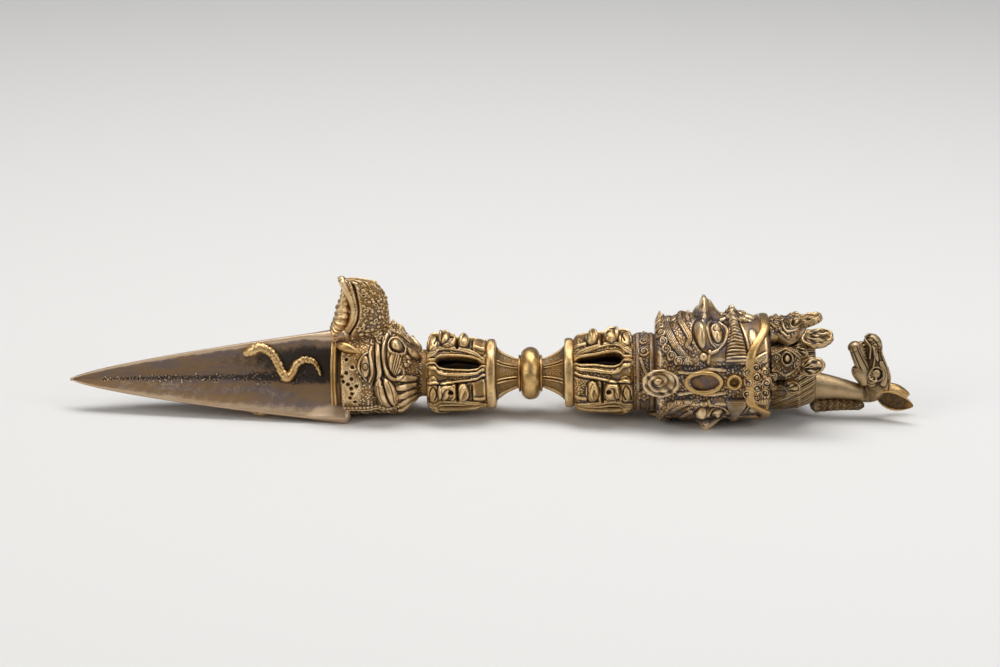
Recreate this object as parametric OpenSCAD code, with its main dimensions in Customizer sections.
// A ritual dagger with a three-edged blade, lying on its side.
// Every piece is drawn upright, with the tip of the blade at the origin and the
// axis along +Z, and laid() then puts it down the way it rests on a table.
// Angles run round the axis from the front, where the makara's trunk, the middle
// face and the horse's muzzle all look.

/* [Blade] */
// Length from the tip to the end of the wings
blade_len = 67.9; // [50:0.1:90]
// Reach of each wing from the axis at its root
blade_reach = 13; // [9:0.1:17]
// How round the outline of a wing is: 1 is a straight taper
blade_bow = 0.72; // [0.5:0.01:1]
// Depth that the flutes leave at their middle, as a share of the wing's reach
flute_share = 0.36; // [0.25:0.01:0.48]
// Half thickness of a wing's edge near the tip
edge_half = 0.4; // [0.2:0.05:0.8]
// Half thickness of a wing's edge at its root
root_half = 1.6; // [0.8:0.05:2]
// Turn of the first wing against the front
wing_turn = 12; // [0:1:30]

/* [Snakes] */
// Radius of a snake's body behind its head
snake_r = 1; // [0.5:0.05:1.4]

/* [Makara] */
// How far the blade's root sits inside the mouth
mouth_depth = 4.4; // [2:0.1:6]
// Length from the lip to the back of the neck
makara_len = 22.6; // [18:0.1:28]
// Radius of the head at its cheeks
makara_r = 9.9; // [8:0.1:11.5]
// Radius of the neck
neck_r = 5.9; // [4:0.1:7.5]
// Height of the trunk's crest above the axis
trunk_top = 24.3; // [19:0.1:28]
// Half thickness of the trunk at its root
trunk_half = 3.1; // [1.5:0.1:4]
// Thickness of the lip
lip_t = 2.1; // [1:0.1:3]

/* [Vajra grip] */
// Length of each half's cage of prongs
cage_len = 14.3; // [10:0.1:20]
// Radius of the lower cage over its prongs
lower_cage_r = 9; // [8:0.1:12]
// Radius of the upper cage over its prongs
upper_cage_r = 9.8; // [8:0.1:12]
// Thickness of a prong's shell
prong_t = 2.9; // [1.5:0.1:3.5]
// Widest opening between two prongs
slot_w = 3.6; // [1:0.1:6]
// Length of each lotus, from its flange to the knob
lotus_len = 7.4; // [5:0.1:12]
// Radius of a lotus at its flange
lotus_r = 8.3; // [6:0.1:9.5]
// Radius of a lotus at its waist
waist_r = 3.2; // [2:0.1:4.5]
// Number of petals on a lotus
petals = 8; // [6:1:12]
// Length of the middle knob
knob_len = 5.7; // [4:0.1:9]
// Radius of the middle knob
knob_r = 6.3; // [5:0.1:8]

/* [Three-faced head] */
// Length of the collar below the faces
collar_len = 5.2; // [3:0.1:8]
// Radius of the collar
collar_r = 9.4; // [7:0.1:11]
// Length of the faces, from chin to crown
face_len = 27; // [22:0.1:34]
// Reach of the front nose from the axis
nose_reach = 17.2; // [14.5:0.1:19]
// Relief of the side faces against the front one
side_share = 0.72; // [0.5:0.01:1]
// Distance from the axis to the flat strips that the two front ears hang on
ear_flat = 12; // [11:0.1:13]
// Distance from the axis to the flat strip at the back
back_flat = 9.7; // [9:0.1:12]
// Half length of an ear ring
ear_ring_half = 4.7; // [3:0.1:5.5]
// Half length of the spiral earring below it
earring_half = 4.4; // [2:0.1:5]

/* [Crown and horse] */
// Width of the headband
band_w = 2.4; // [1.5:0.1:3.5]
// Thickness of the headband
band_t = 0.9; // [0.5:0.1:1.5]
// Height of the crown's front leaf
leaf_len = 15.2; // [10:0.1:20]
// Thickness of a leaf
leaf_t = 1.9; // [0.8:0.1:2.2]
// Length of the topknot
knot_len = 10.8; // [7:0.1:15]
// Radius of the topknot at its foot
knot_r = 9.4; // [7:0.1:10]
// Length of the horse's neck
horse_neck_len = 11; // [8:0.1:16]
// Length of the horse's head, from its poll to its muzzle
horse_head_len = 14.6; // [11:0.1:18]
// Length of a horse's ear
horse_ear_len = 8; // [5:0.1:11]

/* [Hidden] */
$fn = 48;
// Braze line left between carved pieces
gap = 0.05;
// How far a cutter runs past what it cuts
past = 1;
// Soft brown brass, bright brass and worn gold
brown = [0.45, 0.37, 0.24];
brass = [0.74, 0.59, 0.30];
gold = [0.86, 0.68, 0.33];

// Stations along the axis
z_mouth = blade_len - mouth_depth;
z_cage1 = z_mouth + makara_len;
z_lotus1 = z_cage1 + cage_len;
z_knob = z_lotus1 + lotus_len;
z_lotus2 = z_knob + knob_len;
z_cage2 = z_lotus2 + lotus_len;
z_collar = z_cage2 + cage_len;
z_face = z_collar + collar_len;
z_crown = z_face + face_len;
z_horse = z_crown + knot_len;
z_skull = z_horse + horse_neck_len;

// Angles of the four prongs, the five leaves and the three lines of ears
prong_angles = [0, 90, 180, 270];
leaf_angles = [0, 63, -63, 95, -95];
// Half width of each leaf as an angle, and its height as a share of the front one's
leaf_spans = [38, 21, 21, 9, 9];
leaf_shares = [1, 0.82, 0.82, 0.45, 0.45];
// Scale of the horse against the length of head that it was drawn for, and where the foot of its
// neck stands behind the axis
horse_size = horse_head_len / 14.6;
horse_back = 4 * horse_size;
ear_line = 84;
ear_angles = [ear_line, 180, -ear_line];
facet_angles = [for (k = [0:2]) wing_turn + 60 + 120 * k];

// Angles: half width of the strips behind the ears that no face rises over, how far their
// flats run out, and the middle of a side face
strip_half = 18;
strip_reach = 24;
side_mid = 138;
// Height of the noses, as a share of the face from the chin
nose_share = 0.42;

// Where the horse's ears stand over its neck, and how they lean out and back
ear_seat = 4.5 * horse_size;
ear_lean = [14, 12];

// Step between two points round the head, as an angle, and the number of levels on it
head_step = 6;
head_rings = 42;

// The dagger lies on the wing that points down and on the two side faces
z_wing = blade_len - 1.2;
wing_fall = 60 - wing_turn;
wing_drop = (wing_reach(z_wing) - 0.6 * wing_half(z_wing)) * cos(wing_fall)
  + wing_half(z_wing) * sin(wing_fall);
z_nose = z_face + round(nose_share * head_rings) / head_rings * face_len;
face_drop = max([
  for (i = [0:head_rings], a = [side_mid:head_step:180])
    head_radius(z_face + face_len * i / head_rings, a) * cos(180 - a)
]);
rest_lift = atan((face_drop - wing_drop) / (z_nose - z_wing));
rest_height = wing_drop * cos(rest_lift) - z_wing * sin(rest_lift);
ear_tip = z_skull + ear_seat + horse_ear_len * cos(ear_lean[0]) * cos(ear_lean[1]);
ear_fall = 0.5 * horse_size - neck_mid(1) + horse_ear_len * sin(ear_lean[1]);

// Lays the upright dagger down: the tip to -X, the front up, then the horse's end raised
module laid() {
  translate([-(ear_tip * cos(rest_lift) + ear_fall * sin(rest_lift)) / 2, 0, rest_height])
    rotate([0, -rest_lift, 0])
      rotate(a = 180, v = [1, 0, 1])
        children();
}

// A point at a radius, an angle round the axis and a height
function polar(r, a, z) = [r * cos(a), r * sin(a), z];
// Straight blend from a to b
function mix(a, b, t) = a + (b - a) * t;
// Smooth step that rises from 0 at the first value to 1 at the second
function rise(t, from, to) =
  let (s = min(1, max(0, (t - from) / (to - from)))) s * s * (3 - 2 * s);
// A round hill of height 1 centred on a place and an angle, with half widths
function hill(z, a, z0, a0, dz, da) = exp(-pow((z - z0) / dz, 2) - pow((a - a0) / da, 2));
// The angle brought to the range from -180 to 180
function around(a) = a - 360 * floor((a + 180) / 360);

// Skin over a list of rings that all have as many points, closed by a fan at each end
module skin(rings) {
  n = len(rings[0]);
  m = len(rings);
  first = rings[0];
  last = rings[m - 1];
  ones = [for (i = [0:n - 1]) 1];
  points = concat([for (ring = rings) each ring], [ones * first / n, ones * last / n]);
  sides = [
    for (j = [0:m - 2], i = [0:n - 1])
      let (a = j * n + i, b = j * n + (i + 1) % n)
        each [[a, a + n, b + n], [a, b + n, b]]
  ];
  foot = [for (i = [0:n - 1]) [m * n, i, (i + 1) % n]];
  top = [for (i = [0:n - 1]) [m * n + 1, (m - 1) * n + (i + 1) % n, (m - 1) * n + i]];
  polyhedron(points = points, faces = concat(sides, foot, top), convexity = 6);
}

// Skin over a radius that depends on the height and the angle
module turned(heights, sides, radius) {
  skin([
    for (z = heights)
      [for (i = [0:sides - 1]) let (a = 360 * i / sides) polar(radius(z, a), a, z)]
  ]);
}

// Reach of a wing at a height, and half the thickness of its edge
function wing_reach(z) = let (t = z / blade_len) max(edge_half, blade_reach * pow(t, blade_bow))
  - 1.5 * blade_reach / 13 * pow(rise(z, blade_len - 1.6, blade_len), 2);
function wing_half(z) = mix(edge_half * 0.8, edge_half * 1.6, z / blade_len)
  + (root_half - 1.6 * edge_half) * rise(z, blade_len - 8, blade_len - 3);
// Where a flute's rim lies, as its distance out along the flute's middle and to the side
function rim_out(z) = wing_reach(z) * cos(60) - 0.6 * wing_half(z) * cos(60) + wing_half(z) * sin(60);
function rim_side(z) = wing_reach(z) * sin(60) - 0.6 * wing_half(z) * sin(60) - wing_half(z) * cos(60);
// The flute itself is a shallow parabola from rim to rim
function flute_out(z, side) =
  let (low = flute_share * wing_reach(z)) low + (rim_out(z) - low) * pow(side / rim_side(z), 2);

// One level of the blade: three blunt wing edges with a flute after each
flute_steps = 6;
function blade_ring(z, grow) = [
  for (k = [0:2])
    let (
      w = wing_turn + 120 * k,
      reach = wing_reach(z) + grow,
      half = wing_half(z) + grow,
      out = [cos(w), sin(w)],
      side = [-sin(w), cos(w)],
      flute = [cos(w + 60), sin(w + 60)],
      across = [-sin(w + 60), cos(w + 60)]
    )
    each [
      for (p = [[-0.6, -1], [0, -0.4], [0, 0.4], [-0.6, 1]])
        let (q = (reach + p[0] * half) * out + p[1] * half * side) [q[0], q[1], z],
      for (j = [1:flute_steps - 1])
        let (
          s = rim_side(z) * (2 * j / flute_steps - 1),
          q = (flute_out(z, s) + grow) * flute + s * across
        ) [q[0], q[1], z]
    ]
];

// The last levels stand closer, where the wings grow thick and turn into their blunt roots
module blade_solid(grow = 0) {
  steps = 19;
  root_len = 0.1325 * blade_len;
  heights = concat(
    [for (i = [0:steps]) (blade_len - root_len) * pow(i / steps, 1.2)],
    [for (d = [0.85, 0.69, 0.53, 0.37, 0.22, 0.13, 0.06]) blade_len - d * root_len],
    [blade_len + grow]
  );
  skin([for (z = heights) blade_ring(z, grow)]);
}

module blade() {
  color(brown) blade_solid();
}

// Path of the snake on its facet, drawn for a blade of one length: distance below the blade's
// root, side offset and thickness
snake_board = 66.6;
snake_path = [
  [24.3, 5.6, 0.75], [22.6, 6.4, 1.2], [21, 6.9, 1.1], [19.2, 6.3, 1], [17.8, 4.9, 0.95],
  [16.8, 2.9, 0.95], [16, 1, 0.95], [15, -0.4, 0.95], [13.5, 0.9, 0.95], [12.5, 2.9, 0.9],
  [10.6, 4, 0.8], [8.5, 3.4, 0.65], [7.3, 1.6, 0.5], [6.9, 0.2, 0.3]
];

// A snake lying on the facet that faces the given way
module snake(facet) {
  size = blade_reach / 13;
  color(brown) difference() {
    rotate([0, 0, facet]) for (i = [0:len(snake_path) - 2]) hull() {
      for (p = [snake_path[i], snake_path[i + 1]]) {
        z = blade_len * (1 - p[0] / snake_board);
        side = -p[1] * size;
        translate([flute_out(z, side) + 0.3 * snake_r, side, z]) sphere(r = p[2] * snake_r, $fn = 6);
      }
    }
    blade_solid(gap);
  }
}

// Scale of the makara's features against the length that they were drawn for
makara_size = makara_len / 22.6;

// Radius of the makara's head: barrel, brow ridge, eye, ear scroll, jowl and neck
function makara_radius(z, a) =
  let (
    m = z - z_mouth,
    w = abs(around(a)),
    s = makara_size,
    barrel = mix(makara_r, neck_r, rise(m, 16 * s, 21.4 * s)),
    hump = 2.3 * hill(m, w, 13.5 * s, 0, 4.6 * s, 34),
    brow = 0.9 * hill(m, w, 7.6 * s, 38, 2.2 * s, 14),
    eye = 0.9 * hill(m, w, 8.9 * s, 62, 1.9 * s, 12),
    ear = 0.9 * hill(m, w, 14.6 * s, 40, 2.6 * s, 17) - 0.8 * hill(m, w, 12.4 * s, 62, 1.1 * s, 14),
    jowl = 0.8 * hill(m, w, 13.6 * s, 98, 2.2 * s, 15),
    cheek = 0.35 * hill(m, w, 5.4 * s, 86, 2 * s, 20) - 0.7 * hill(m, w, 10.6 * s, 108, 1 * s, 30),
    under = -0.95 * rise(w, 118, 165),
    fold = 0.25 * sin(9 * w) * rise(m, 15.4 * s, 17 * s) * (1 - rise(m, 18.5 * s, 20 * s))
  )
  barrel + hump + brow + eye + ear + jowl + cheek + under + fold;

module makara_body(grow = 0) {
  steps = 22;
  turned(
    [for (i = [0:steps]) z_mouth + lip_t + (makara_len - lip_t) * i / steps],
    48,
    function (z, a) makara_radius(z, a) + grow
  );
}

// Room for the blade's root: the mouth's hollow, and slots with the section of the wings
mouth_r = 0.8 * makara_r;
module blade_room(grow) {
  section = blade_ring(z_wing, grow);
  translate([0, 0, z_mouth - past]) cylinder(r = mouth_r, h = mouth_depth + past);
  translate([0, 0, z_mouth - past]) linear_extrude(mouth_depth + past + grow)
    polygon([for (p = section) [p[0], p[1]]]);
}

// Eye of the makara: a ball in an almond of two lids
module makara_eye(side) {
  z_eye = z_mouth + 8.9 * makara_size;
  eye_r = makara_r + 0.9;
  for (i = [-3:2]) hull() {
    for (j = [i, i + 1]) for (lid = [-1, 1])
      rotate([0, 0, side * (62 + 5 * j)])
        translate([eye_r - 0.05 * j * j, 0, z_eye + lid * (2.1 - 0.19 * j * j)])
          sphere(r = 0.45, $fn = 6);
  }
  rotate([0, 0, side * 62]) translate([eye_r + 0.2, 0, z_eye]) sphere(r = 1.1, $fn = 16);
}

// The lip runs round the front, and the lower jaw closes the mouth behind the two lower wings
lip_end = 112;
module lower_jaw() {
  translate([0, 0, z_mouth]) rotate([0, 0, lip_end + 3])
    rotate_extrude(angle = 354 - 2 * lip_end) translate([mouth_r - 0.5, 0]) square([1.4, lip_t + 0.3]);
}

module makara_head() {
  color(brass) difference() {
    union() {
      makara_body();
      lower_jaw();
      for (side = [-1, 1]) makara_eye(side);
    }
    blade_room(0.4);
  }
}

// The lip is a rolled band round the mouth, parted where the front wing passes
module makara_lip() {
  color(gold) difference() {
    translate([0, 0, z_mouth]) rotate([0, 0, -lip_end]) rotate_extrude(angle = 2 * lip_end) union() {
      translate([mouth_r, 0]) square([makara_r - mouth_r, lip_t]);
      translate([makara_r, lip_t / 2]) circle(d = lip_t);
    }
    blade_room(0.4);
  }
}

// The trunk's front edge bows back at half height, and its back edge curls over at the crest
function trunk_front(r) =
  z_mouth + makara_size * (4.7 - 3.6 * pow((r - 0.68 * trunk_top) / (0.33 * trunk_top), 2));
function trunk_back(r) =
  z_mouth + makara_size * (13.7 - 6 * pow(max(0, r - 0.53 * trunk_top) / (0.47 * trunk_top), 4));
function trunk_side(r) = mix(trunk_half, 0.5 * trunk_half, pow(r / trunk_top, 2));

module trunk_slice(r) {
  front = trunk_front(r);
  back = trunk_back(r);
  translate([r, 0, (front + back) / 2]) rotate([0, 90, 0])
    scale([(back - front) / 2, trunk_side(r), 1]) cylinder(r = 1, h = 0.1, $fn = 14);
}

// Ribbed palate that bulges in front of the trunk, above the blade's upper wing
module trunk_palate() {
  low = blade_reach + 0.5;
  high = 0.9 * trunk_top;
  steps = 6;
  for (i = [0:steps - 1]) hull() for (t = [i / steps, (i + 1) / steps]) {
    r = mix(low, high, t);
    bulge = 4.2 * makara_size * (1 - t) * (1 + 0.8 * t);
    translate([r, 0, trunk_front(r) + 0.6 - bulge / 2]) rotate([0, 90, 0])
      scale([0.9 + bulge / 2, 0.55 * trunk_side(r), 1]) cylinder(r = 1, h = 0.1, $fn = 12);
  }
}

module makara_trunk() {
  root = makara_r - 1;
  steps = 10;
  color(brass) difference() {
    union() {
      for (i = [0:steps - 1]) hull() {
        trunk_slice(mix(root, trunk_top - 0.1, i / steps));
        trunk_slice(mix(root, trunk_top - 0.1, (i + 1) / steps));
      }
      trunk_palate();
    }
    makara_body(gap);
    blade_solid(2 * gap);
    translate([0, 0, z_mouth - past]) cylinder(r = makara_r + lip_t / 2 + gap, h = lip_t + past + gap);
  }
}

// A tusk is a slim spindle that lies along the cheek
module makara_tusk(side) {
  steps = 8;
  foot = z_mouth + lip_t + 0.9;
  along = 5.4 * makara_size;
  color(gold) difference() {
    rotate([0, 0, side * 33]) for (i = [0:steps - 1]) hull() {
      for (t = [i / steps, (i + 1) / steps])
        translate([makara_radius(z_mouth + 4.5, 33) + 0.4, 0, foot + along * t])
          sphere(r = 0.35 + 0.9 * sin(180 * t), $fn = 8);
    }
    makara_body(gap);
  }
}

// Outline of a prong's shell in the plane of the axis: a bowed bar
module prong_outline(cage_r) {
  foot_r = waist_r + 0.6;
  intersection() {
    square([cage_r + 3, cage_len]);
    difference() {
      polygon([
        [foot_r, 0], [cage_r - 1.5, 0], [cage_r - 0.4, 1.2], [cage_r - 0.4, cage_len - 3.2],
        [cage_r - 1.7, cage_len - 0.8], [lotus_r - 0.4, cage_len], [foot_r, cage_len]
      ]);
      room_r = cage_r - prong_t - foot_r + 0.2;
      translate([foot_r, cage_len / 2]) hull() {
        for (e = [-1, 1]) translate([0, e * (cage_len / 2 - 4)]) circle(r = room_r);
      }
    }
  }
}

// Scrolls on a prong's back: height along the cage, radius and how far they stand out. The prong
// that faces down has lower ones, because the dagger lies over it.
scrolls = [[1.8, 1.4, 0], [4.4, 2, 1], [9, 1.7, 0.8]];
scroll_lift = [1.7, 1.2, 0.3, 1.2];
scroll_span = 26;
module prong_scrolls(k, cage_r) {
  for (c = scrolls)
    rotate([0, 0, -scroll_span]) rotate_extrude(angle = 2 * scroll_span)
      translate([cage_r - 0.2 - c[1] + c[2] * scroll_lift[k], c[0]]) circle(r = c[1], $fn = 24);
}

// One prong fills a quarter of the cage, less its half of the slot on each side
module prong(k, cage_r) {
  slot_len = cage_len - 1.8;
  arc_r = (pow(slot_len / 2, 2) + pow(slot_w / 2, 2)) / slot_w;
  rotate([0, 0, prong_angles[k]]) difference() {
    union() {
      rotate([0, 0, -45]) rotate_extrude(angle = 90) prong_outline(cage_r);
      prong_scrolls(k, cage_r);
    }
    for (side = [-1, 1]) rotate([0, 0, side * 45])
      translate([0, 0, cage_len / 2]) rotate([0, 90, 0]) intersection_for (e = [-1, 1])
        translate([0, e * (arc_r - slot_w / 2), waist_r]) cylinder(r = arc_r, h = cage_r + 3, $fn = 96);
  }
}

module lower_prong(k) {
  color(brass) translate([0, 0, z_cage1]) prong(k, lower_cage_r);
}

module upper_prong(k) {
  color(brass) translate([0, 0, z_collar]) mirror([0, 0, 1]) prong(k, upper_cage_r);
}

// The spindle on the axis that the prongs close over
module core() {
  rotate_extrude() polygon([
    [0, 0], [waist_r + 0.5, 0], [waist_r + 0.5, 1], [2, 2.2], [2.6, cage_len / 2],
    [2, cage_len - 2.2], [waist_r + 0.5, cage_len - 1], [waist_r + 0.5, cage_len], [0, cage_len]
  ]);
}

module lower_core() {
  color(brown) translate([0, 0, z_cage1]) core();
}

module upper_core() {
  color(brown) translate([0, 0, z_cage2]) core();
}

// A lotus: a flange with one scallop for each petal, then a hollow flare down to the waist
module lotus() {
  flange_t = 2.2;
  flare = lotus_len - flange_t;
  lobe_r = lotus_r * sin(180 / petals) / (1 + sin(180 / petals)) * 1.12;
  intersection() {
    rotate_extrude() difference() {
      union() {
        square([lotus_r, flange_t]);
        translate([0, flange_t]) square([lotus_r - 0.4, flare]);
      }
      translate([lotus_r + 0.5, lotus_len]) hull() {
        translate([0, -flare + lotus_r + 0.5 - waist_r]) circle(r = lotus_r + 0.5 - waist_r);
        translate([0, 2 * past]) circle(r = lotus_r + 0.5 - waist_r);
      }
    }
    union() {
      linear_extrude(lotus_len) circle(r = lotus_r - 1);
      for (i = [0:petals - 1]) rotate([0, 0, 360 * i / petals])
        translate([lotus_r - lobe_r, 0, 0]) cylinder(r = lobe_r, h = lotus_len);
    }
  }
}

module lower_lotus() {
  color(brass) translate([0, 0, z_lotus1]) lotus();
}

module upper_lotus() {
  color(brass) translate([0, 0, z_cage2]) mirror([0, 0, 1]) lotus();
}

// The middle knob is a round bead between two stepped shoulders
module grip_knob() {
  bead = knob_len * 0.8;
  color(gold) translate([0, 0, z_knob]) rotate_extrude() union() {
    square([waist_r + 1.5, knob_len]);
    translate([0, (knob_len - bead) / 2]) square([knob_r - bead / 2, bead]);
    translate([knob_r - bead / 2, knob_len / 2]) circle(d = bead);
  }
}

module head_collar() {
  color(brown) translate([0, 0, z_collar]) rotate_extrude() union() {
    square([collar_r - 0.5, collar_len]);
    translate([0, 0.8]) square([collar_r, collar_len - 1.6]);
  }
}

// How far an angle lies from the middle of its face, with 60 at the strip behind the ears.
// The front face is wider than the two at the sides.
function face_angle(a) =
  let (w = abs(around(a)))
  min(60,
    w <= ear_line ? 60 * w / (ear_line - strip_half) :
    w <= side_mid ? 60 * (side_mid - w) / (side_mid - ear_line - strip_half) :
    60 * (w - side_mid) / (180 - side_mid - strip_half));
// Size of the face at an angle
function face_size(a) = mix(1, side_share, rise(abs(around(a)), ear_line - 14, ear_line + 6));
// Distance of the flat strips behind the ears, and of the round between them under the faces
function strip_radius(a) =
  let (w = abs(around(a)), side = ear_line + strip_reach, back = 180 - strip_reach)
  w < side ? ear_flat / cos(min(abs(w - ear_line), strip_reach)) :
  w > back ? back_flat / cos(180 - w) :
  mix(ear_flat, back_flat, (w - side) / (back - side)) / cos(strip_reach);

// A raised bar: its height above a line that runs across the face, with a soft edge
function bar(h, line, half) = exp(-pow((h - line) / half, 2));

// What is carved on each face, as lift in the relief of the front one: two lids round each eyeball,
// flaming brow bars that widen toward the ears, frown curls, cheek folds, nostrils, a moustache, two
// tiers of beard, the gape under the teeth and the eye on the forehead
function carved_lift(h, u) =
  let (
    full = (nose_reach - ear_flat) / 5.2 * (1 - rise(u, 54, 59)),
    lid_bow = 0.081 * (1 - pow((u - 28) / 26, 2)),
    lid_pair = bar(h, 0.537 + lid_bow, 0.02) + 0.8 * bar(h, 0.537 - lid_bow, 0.018),
    lids = lid_pair * rise(u, 8, 16) * (1 - rise(u, 40, 48)),
    ball = hill(h, u, 0.53, 27, 0.045, 10),
    flare = rise(u, 12, 24) * mix(0.55, 1, rise(u, 20, 52)),
    flame = bar(h, 0.69, mix(0.035, 0.07, rise(u, 16, 56))) * flare,
    curls = hill(h, u, 0.667, 7.5, 0.045, 6) + 0.85 * hill(h, u, 0.77, 8, 0.038, 5),
    cheek_fold = hill(h, u, 0.385, 31, 0.036, 12) - 0.6 * hill(h, u, 0.33, 26, 0.02, 18),
    nostril = hill(h, u, 0.43, 7, 0.032, 5),
    moustache = bar(h, 0.22 + 0.075 * rise(u, 10, 36), 0.026) * (1 - rise(u, 44, 50)),
    beard = bar(h, 0.093 + 0.19 * pow(u / 55, 2.8), 0.03),
    tassels = bar(h, 0.037 + 0.14 * pow(u / 55, 4), 0.03) * (0.75 + 0.25 * cos(60 * u)),
    gape = hill(h, u, 0.262, 0, 0.035, 13),
    third_eye = hill(h, u, 0.82, 0, 0.05, 5)
  )
  full * (0.55 * lids + 0.6 * ball + 0.75 * flame + 0.75 * curls + 0.7 * cheek_fold + 0.5 * nostril
    + 0.6 * moustache + 0.45 * beard + 0.65 * tassels - 0.6 * gape + 0.7 * third_eye);

// Radius of the three-faced head, with the height given as a share of the face from chin to crown
function head_radius(z, a) =
  let (
    h = (z - z_face) / face_len,
    u = face_angle(a),
    s = face_size(a),
    tall = nose_reach - ear_flat,
    mask = pow(cos(1.5 * u), 0.8),
    chin = -0.25 * hill(h, u, 0.09, 0, 0.08, 30),
    mouth = 0.1 * hill(h, u, 0.26, 0, 0.1, 34),
    nose = 0.85 * hill(h, u, nose_share, 0, h < nose_share ? 0.05 : 0.12, 10)
      + 0.3 * hill(h, u, nose_share + 0.01, 12, 0.04, 7),
    cheek = 0.5 * hill(h, u, 0.41, 29, 0.07, 13),
    socket = -0.12 * hill(h, u, 0.56, 24, 0.06, 13),
    eye = 0.32 * hill(h, u, 0.54, 26, 0.035, 9),
    brow = 0.3 * hill(h, u, 0.68, 22, 0.05, 30),
    boss = -0.17 * rise(h, 0.74, 0.95),
    form = 0.08 + chin + mouth + nose + cheek + socket + eye + brow + boss,
    jaw = mix(min(collar_r + 1.4, strip_radius(a)), strip_radius(a), rise(h, -0.03, 0.045))
  )
  jaw + s * rise(h, -0.03, 0.08) * (tall * mask * form + carved_lift(h, u));

module three_faced_head() {
  color(brass) turned(
    [for (i = [0:head_rings]) z_face + face_len * i / head_rings],
    360 / head_step,
    function (z, a) head_radius(z, a)
  );
}

// The headband rides up over the middle of each face and drops toward the ears
band_rise = 3.8;
function band_mid(a) = z_crown - band_w / 2 - 0.1 - band_rise * rise(face_angle(a), 17, 59);

module headband() {
  steps = 360 / head_step;
  color(gold) polyhedron(
    points = [
      for (i = [0:steps - 1])
        let (a = 360 * i / steps, m = band_mid(a))
        each [
          for (c = [[-1, 0], [1, 0], [0.7, 1], [-0.7, 1]])
            let (z = m + c[0] * band_w / 2) polar(head_radius(z, a) + 0.15 + c[1] * band_t, a, z)
        ]
    ],
    faces = [
      for (i = [0:steps - 1], c = [0:3])
        let (p = 4 * i + c, q = 4 * i + (c + 1) % 4, n = 4 * steps)
        each [[p, q, (q + 4) % n], [p, (q + 4) % n, (p + 4) % n]]
    ],
    convexity = 8
  );
}

// Puts a flat-backed ornament on the strip of an ear line, facing out, at a height on the face
module on_ear(angle, share) {
  flat = angle == 180 ? back_flat : ear_flat;
  rotate([0, 0, angle]) translate([flat, 0, z_face + share * face_len]) rotate([0, 90, 0])
    children();
}

// Long ear lobe: an oval ring
module ear_ring(angle) {
  wide = 0.6 * ear_ring_half;
  color(gold) on_ear(angle, 0.41) linear_extrude(1.3) difference() {
    hull() for (e = [-1, 1]) translate([e * (ear_ring_half - wide), 0]) circle(r = wide);
    hull() for (e = [-1, 1]) translate([e * (ear_ring_half - wide), 0]) circle(r = wide - 1.1);
  }
}

// Flower over the ear: a round ring with a sunk eye, and three petals on the ear's side
module ear_flower(angle) {
  ring_out = 0.42 * ear_ring_half;
  color(gold) on_ear(angle, 0.675) difference() {
    union() {
      cylinder(r = ring_out, h = 1.5);
      for (i = [-1:1]) rotate([0, 0, 180 + 55 * i]) translate([ring_out, 0, 0])
        cylinder(r = 0.42 * ring_out, h = 1.1);
    }
    translate([0, 0, 0.7]) cylinder(r = 0.55 * ring_out, h = 1.5);
  }
}

// Large spiral disc that hangs below the lobe and over the collar, smaller at the narrow back
module earring(angle) {
  size = angle == 180 ? 0.78 : 1;
  half = size * earring_half;
  wide = 0.77 * half;
  rim_t = 1.2 * size;
  color(gold) on_ear(angle, 0.04) union() {
    linear_extrude(0.6 * rim_t) hull() for (e = [-1, 1])
      translate([e * (half - wide), 0]) circle(r = wide);
    difference() {
      cylinder(r = 0.92 * wide, h = rim_t);
      translate([0, 0, 0.7 * rim_t]) cylinder(r = 0.7 * wide, h = rim_t);
    }
    cylinder(r = 0.35 * wide, h = rim_t);
  }
}

// Inner radius of the ring that the leaves stand in
leaf_in = knot_r + 0.7;

// Outline of a crown leaf: a broad foot, two lobes at its shoulders and two fingers for its tip
module leaf_outline(half, tall) {
  lobe = 0.42 * half;
  union() {
    translate([-0.8 * half, 0]) square([1.6 * half, 0.5 * tall]);
    for (e = [-1, 1]) translate([e * (half - lobe), 0.36 * tall]) circle(r = lobe);
    for (e = [-1, 1]) hull() {
      translate([e * 0.4 * half, 0.5 * tall]) circle(r = 0.4 * half);
      translate([e * 0.34 * half, (e > 0 ? 1 : 0.86) * tall - 0.3 * half]) circle(r = 0.3 * half);
    }
  }
}

// A leaf follows the crown's round, stands on the head's flat top and carries a round flower
module crown_leaf(k) {
  half = leaf_in * sin(leaf_spans[k]);
  tall = leaf_len * leaf_shares[k];
  color(brass) translate([0, 0, z_crown]) rotate([0, 0, leaf_angles[k]]) union() {
    intersection() {
      difference() {
        cylinder(r = leaf_in + leaf_t, h = leaf_len);
        translate([0, 0, -past]) cylinder(r = leaf_in, h = leaf_len + 2 * past);
      }
      rotate([90, 0, 90]) linear_extrude(2 * ear_flat) leaf_outline(half, tall);
    }
    translate([leaf_in + leaf_t / 2, 0, 0.34 * tall]) rotate([0, 90, 0])
      cylinder(r = 0.42 * half, h = leaf_t / 2 + 0.25 * half);
  }
}

// Bundle of hair on top of the head, drawn in toward the horse's neck
module knot_outline(grow = 0) {
  polygon([
    [0, 0], [knot_r + grow, 0], [knot_r + grow, 0.4 * knot_len], [0.9 * knot_r + grow, 0.75 * knot_len],
    [0.84 * knot_r + grow, knot_len], [0, knot_len]
  ]);
}

module topknot() {
  color(brown) translate([0, 0, z_crown]) rotate_extrude() knot_outline();
}

// The horse's neck leans to the back of the dagger and narrows upward
function neck_mid(t) = -horse_back - 1.9 * horse_size * pow(t, 1.5);
function neck_deep(t) = horse_size * mix(3.5, 2, pow(t, 0.8));
function neck_edge(t) = neck_mid(t) - neck_deep(t) - 2 * gap;
function neck_wide(t) = horse_size * mix(3, 2, t);

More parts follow.
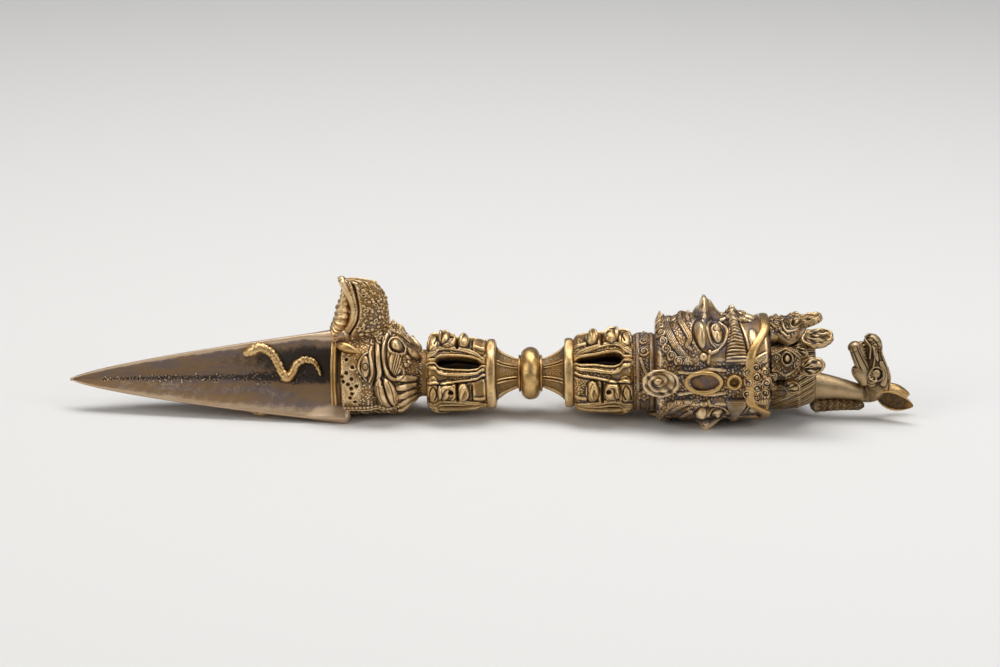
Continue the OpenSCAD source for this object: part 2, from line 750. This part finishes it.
module horse_neck() {
  steps = 8;
  color(brass) skin([
    for (i = [0:steps])
      let (t = i / steps)
      [
        for (a = [0:18:342])
          [neck_mid(t) + neck_deep(t) * cos(a), neck_wide(t) * sin(a), z_horse + horse_neck_len * t]
      ]
  ]);
}

// The mane is a scalloped crest behind the neck
mane_t = 2.4 * horse_size;
mane_steps = 7;
module horse_mane() {
  line = [for (i = [0:mane_steps]) let (t = i / mane_steps) [neck_edge(t), z_horse + horse_neck_len * t]];
  deep = [for (i = [0:mane_steps]) horse_size * mix(1.9, 1.3, i / mane_steps)];
  lock = [for (i = [0:mane_steps]) horse_size * mix(1.9, 1.2, i / mane_steps)];
  color(brass) translate([0, mane_t / 2, 0]) rotate([90, 0, 0]) linear_extrude(mane_t) difference() {
    union() {
      for (i = [0:mane_steps]) translate([line[i][0] - deep[i], line[i][1]]) circle(r = lock[i]);
      polygon(concat(line, [for (i = [mane_steps:-1:0]) line[i] - [deep[i], 0]]));
    }
    polygon(concat(line, [[0, z_horse + horse_neck_len + 3], [0, z_horse - 3]]));
    translate([0, z_crown]) mirror([1, 0]) knot_outline(2 * gap);
  }
}

// Back of the horse's skull and its cheeks
module horse_skull(grow = 0) {
  hull() {
    translate([0.4, 0, 4.2]) sphere(r = 3 + grow, $fn = 12);
    translate([4.6, 0, 3.4]) sphere(r = 3.1 + grow, $fn = 12);
    translate([4.3, 0, 2]) sphere(r = 2 + grow, $fn = 12);
  }
}

// Skull, cheeks and the two jaws, parted in a neigh
module horse_head() {
  color(brass) translate([neck_mid(1), 0, z_skull]) scale(horse_size) union() {
    hull() {
      cylinder(r = 2.2, h = 0.2, $fn = 16);
      translate([0.4, 0, 4.2]) sphere(r = 3, $fn = 12);
    }
    horse_skull();
    hull() {
      translate([5, 0, 3.6]) sphere(r = 2.8, $fn = 12);
      translate([12, 0, 2.7]) sphere(r = 2.2, $fn = 12);
    }
    hull() {
      translate([12, 0, 2.7]) sphere(r = 2.2, $fn = 12);
      translate([13.5, 0, 1.1]) sphere(r = 1.5, $fn = 10);
    }
    hull() {
      translate([4.2, 0, 1.2]) sphere(r = 2.2, $fn = 10);
      translate([5.6, 0, -0.2]) sphere(r = 2.2, $fn = 10);
    }
    hull() {
      translate([5.6, 0, 0.6]) sphere(r = 2, $fn = 10);
      translate([12.4, 0, -2]) sphere(r = 1.3, $fn = 10);
    }
    for (side = [-1, 1]) {
      hull() {
        translate([4, side * 2.6, 4.2]) sphere(r = 0.9, $fn = 10);
        translate([6, side * 2.5, 4.4]) sphere(r = 0.8, $fn = 10);
      }
      hull() {
        translate([13, side * 1.5, 2.2]) sphere(r = 0.8, $fn = 10);
        translate([12, side * 1.8, 3]) sphere(r = 0.7, $fn = 10);
      }
    }
  }
}

// A horse's ear is a hollow leaf that stands behind the skull
module horse_ear(side) {
  steps = 8;
  color(gold) difference() {
    translate([neck_mid(1) - 0.5 * horse_size, side * 2.2 * horse_size, z_skull + ear_seat])
      rotate([-side * ear_lean[0], -ear_lean[1], 0]) difference() {
        for (i = [0:steps - 1]) hull() {
          for (t = [i / steps, (i + 1) / steps])
            translate([0, 0, mix(-1, horse_ear_len - 0.35, t)]) scale([1, 0.7, 1])
              sphere(r = (0.35 + 1.95 * sin(180 * pow(t, 0.8))) * horse_ear_len / 8, $fn = 8);
        }
        translate([0, side * 1.5, 0.42 * horse_ear_len]) scale([1, 0.7, 2.1]) sphere(r = 1.45, $fn = 10);
      }
    translate([neck_mid(1), 0, z_skull]) scale(horse_size) horse_skull(gap);
    translate([neck_mid(1), 0, z_skull]) scale(horse_size) hull() {
      cylinder(r = 2.2 + gap, h = 0.2, $fn = 16);
      translate([0.4, 0, 4.2]) sphere(r = 3 + gap, $fn = 12);
    }
  }
}

laid() blade();
laid() snake(facet_angles[0]);  // snake_1
laid() snake(facet_angles[1]);  // snake_2
laid() snake(facet_angles[2]);  // snake_3
laid() makara_head();
laid() makara_lip();
laid() makara_trunk();
laid() makara_tusk(1);  // makara_tusk_left
laid() makara_tusk(-1);  // makara_tusk_right
laid() lower_core();
laid() lower_prong(0);  // lower_prong_1
laid() lower_prong(1);  // lower_prong_2
laid() lower_prong(2);  // lower_prong_3
laid() lower_prong(3);  // lower_prong_4
laid() lower_lotus();
laid() grip_knob();
laid() upper_lotus();
laid() upper_core();
laid() upper_prong(0);  // upper_prong_1
laid() upper_prong(1);  // upper_prong_2
laid() upper_prong(2);  // upper_prong_3
laid() upper_prong(3);  // upper_prong_4
laid() head_collar();
laid() three_faced_head();
laid() headband();
laid() ear_ring(ear_angles[0]);  // ear_ring_left
laid() ear_ring(ear_angles[1]);  // ear_ring_back
laid() ear_ring(ear_angles[2]);  // ear_ring_right
laid() ear_flower(ear_angles[0]);  // ear_flower_left
laid() ear_flower(ear_angles[1]);  // ear_flower_back
laid() ear_flower(ear_angles[2]);  // ear_flower_right
laid() earring(ear_angles[0]);  // earring_left
laid() earring(ear_angles[1]);  // earring_back
laid() earring(ear_angles[2]);  // earring_right
laid() crown_leaf(0);  // crown_leaf_1
laid() crown_leaf(1);  // crown_leaf_2
laid() crown_leaf(2);  // crown_leaf_3
laid() crown_leaf(3);  // crown_leaf_4
laid() crown_leaf(4);  // crown_leaf_5
laid() topknot();
laid() horse_neck();
laid() horse_mane();
laid() horse_head();
laid() horse_ear(1);  // horse_ear_left
laid() horse_ear(-1);  // horse_ear_right
